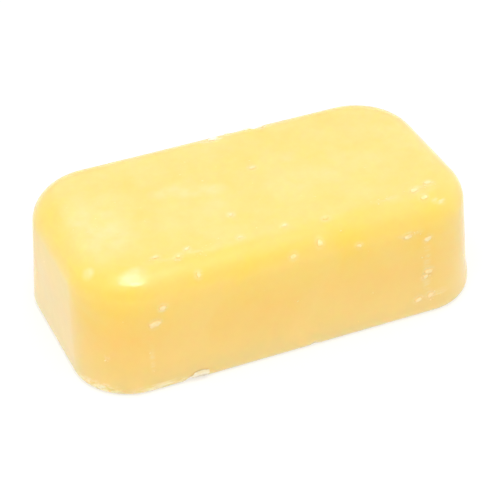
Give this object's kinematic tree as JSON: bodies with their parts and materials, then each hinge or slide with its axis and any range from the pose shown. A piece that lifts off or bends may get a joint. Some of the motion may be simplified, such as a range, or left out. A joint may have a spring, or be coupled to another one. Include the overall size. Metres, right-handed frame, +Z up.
{
  "type": "clay bar",
  "caption": "Moulded bar of car detailing clay, a rounded block with drafted walls, with crumbs and flakes of the same clay clinging to it.",
  "frame": {"origin": "centre of the foot, on the surface that the bar rests on", "axes": "+X along the bar's length, +Z up through the flat top; the long wall with the nick in its foot edge faces -Y"},
  "size_m": [0.1, 0.0553, 0.0312],
  "materials": {
    "clay": "satin, waxy and slightly translucent",
    "pale_clay": "matte, whitish and dry"
  },
  "bodies": {
    "root": {"bar": "clay", "top_crumbs": "pale_clay", "edge_crumbs": "pale_clay", "front_crumbs": "pale_clay", "foot_flake": "pale_clay", "back_edge_flakes": "pale_clay"}
  },
  "joints": []
}
